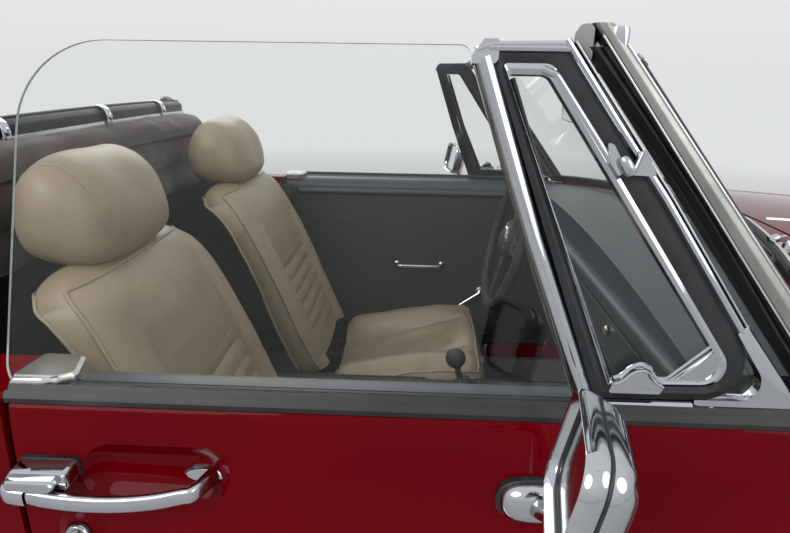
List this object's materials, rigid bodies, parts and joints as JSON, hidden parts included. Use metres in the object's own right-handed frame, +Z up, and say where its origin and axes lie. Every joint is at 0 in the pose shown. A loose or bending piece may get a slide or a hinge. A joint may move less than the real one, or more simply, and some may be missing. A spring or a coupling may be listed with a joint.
{
  "type": "convertible car",
  "caption": "Open two-seat roadster with its cloth roof folded, chrome quarter lights and mirrors, doors, bonnet and boot lid that open, and front wheels that steer.",
  "frame": {"origin": "on the ground under the middle of the car", "axes": "+X forward, +Y to the car's left, +Z up"},
  "size_m": [3.886, 1.8452, 1.208],
  "materials": {
    "red_paint": "gloss",
    "chrome": "polished",
    "satin_aluminium": "satin",
    "glass": "clear",
    "lamp_glass": "clear",
    "amber_red_lens": "gloss",
    "black_paint": "satin",
    "underbody_paint": "matt",
    "cast_iron": "rough",
    "tan_leather": "smooth",
    "black_vinyl": "grained",
    "grey_blue_vinyl": "padded",
    "roof_cloth": "woven",
    "tyre_rubber": "matt",
    "silver_steel": "satin",
    "bright_steel": "machined",
    "exhaust_steel": "dull"
  },
  "bodies": {
    "car_body": {"bumper_front": "chrome", "bumper_rear": "chrome", "dashboard": "grey_blue_vinyl", "engine": "cast_iron", "engine_bay": "underbody_paint", "exhaust": "exhaust_steel", "floor_pan": "underbody_paint", "folded_roof": "roof_cloth", "front_suspension": "black_paint", "front_wings": "red_paint", "fuel_tank": "underbody_paint", "grille": "chrome", "hand_controls": "black_paint", "headlamps": "lamp_glass", "headrests": "tan_leather", "nose_panel": "red_paint", "rear_axle": "black_paint", "rear_body": "red_paint", "rear_floor": "underbody_paint", "rear_wheel_tubs": "underbody_paint", "roof_frame": "black_paint", "scuttle": "red_paint", "seat_backs": "tan_leather", "seat_cushions": "tan_leather", "seat_runners": "black_paint", "side_lamps": "lamp_glass", "sills_and_door_posts": "red_paint", "sun_visors": "black_vinyl", "tail_lamps": "amber_red_lens", "windscreen_frame": "satin_aluminium", "windscreen_glass": "glass", "wipers": "black_paint"},
    "door_left": {"door_left": "red_paint", "quarter_light_frame_left": "chrome", "quarter_glass_left": "glass", "door_handle_left": "chrome", "door_mirror_left": "chrome"},
    "door_right": {"door_right": "red_paint", "quarter_light_frame_right": "chrome", "quarter_glass_right": "glass", "side_glass_right": "glass", "door_handle_right": "chrome", "door_mirror_right": "chrome"},
    "bonnet": {"bonnet": "red_paint"},
    "boot_lid": {"boot_lid": "red_paint"},
    "knuckle_left": {"knuckle_left": "bright_steel"},
    "knuckle_right": {"knuckle_right": "bright_steel"},
    "steering_wheel": {"steering_wheel": "black_vinyl"},
    "wheel_front_left": {"tyre_front_left": "tyre_rubber", "rim_front_left": "silver_steel"},
    "wheel_front_right": {"tyre_front_right": "tyre_rubber", "rim_front_right": "silver_steel"},
    "wheel_rear_left": {"tyre_rear_left": "tyre_rubber", "rim_rear_left": "silver_steel"},
    "wheel_rear_right": {"tyre_rear_right": "tyre_rubber", "rim_rear_right": "silver_steel"}
  },
  "joints": [
    {"name": "door_left_hinge", "type": "hinge", "parent": "car_body", "child": "door_left", "pos_m": [0.502, 0.757, 0.5], "axis": [0, 0, -1], "range_deg": [0, 62]},
    {"name": "door_right_hinge", "type": "hinge", "parent": "car_body", "child": "door_right", "pos_m": [0.502, -0.757, 0.5], "axis": [0, 0, 1], "range_deg": [0, 62]},
    {"name": "bonnet_hinge", "type": "hinge", "parent": "car_body", "child": "bonnet", "pos_m": [0.736, 0, 0.8825], "axis": [0, -1, 0], "range_deg": [0, 50]},
    {"name": "boot_hinge", "type": "hinge", "parent": "car_body", "child": "boot_lid", "pos_m": [-1.038, 0, 0.8545], "axis": [0, 1, 0], "range_deg": [0, 65]},
    {"name": "steer_left", "type": "hinge", "parent": "car_body", "child": "knuckle_left", "pos_m": [1.257, 0.56, 0.311], "axis": [0, 0, 1], "range_deg": [-33, 33]},
    {"name": "steer_right", "type": "hinge", "parent": "car_body", "child": "knuckle_right", "pos_m": [1.257, -0.56, 0.311], "axis": [0, 0, 1], "range_deg": [-33, 33]},
    {"name": "steering_wheel_turn", "type": "hinge", "parent": "car_body", "child": "steering_wheel", "pos_m": [0.272, 0.33, 0.728], "axis": [-0.9703, 0, 0.2419], "range_deg": [-528, 528]},
    {"name": "wheel_front_left_spin", "type": "hinge", "parent": "knuckle_left", "child": "wheel_front_left", "pos_m": [1.257, 0.625, 0.311], "axis": [0, 1, 0], "continuous": true},
    {"name": "wheel_front_right_spin", "type": "hinge", "parent": "knuckle_right", "child": "wheel_front_right", "pos_m": [1.257, -0.625, 0.311], "axis": [0, 1, 0], "continuous": true},
    {"name": "wheel_rear_left_spin", "type": "hinge", "parent": "car_body", "child": "wheel_rear_left", "pos_m": [-1.054, 0.625, 0.311], "axis": [0, 1, 0], "continuous": true},
    {"name": "wheel_rear_right_spin", "type": "hinge", "parent": "car_body", "child": "wheel_rear_right", "pos_m": [-1.054, -0.625, 0.311], "axis": [0, 1, 0], "continuous": true}
  ],
  "couplings": [
    {"joint": "steer_right", "follows": "steer_left", "ratio": 1},
    {"joint": "steering_wheel_turn", "follows": "steer_left", "ratio": 16}
  ]
}
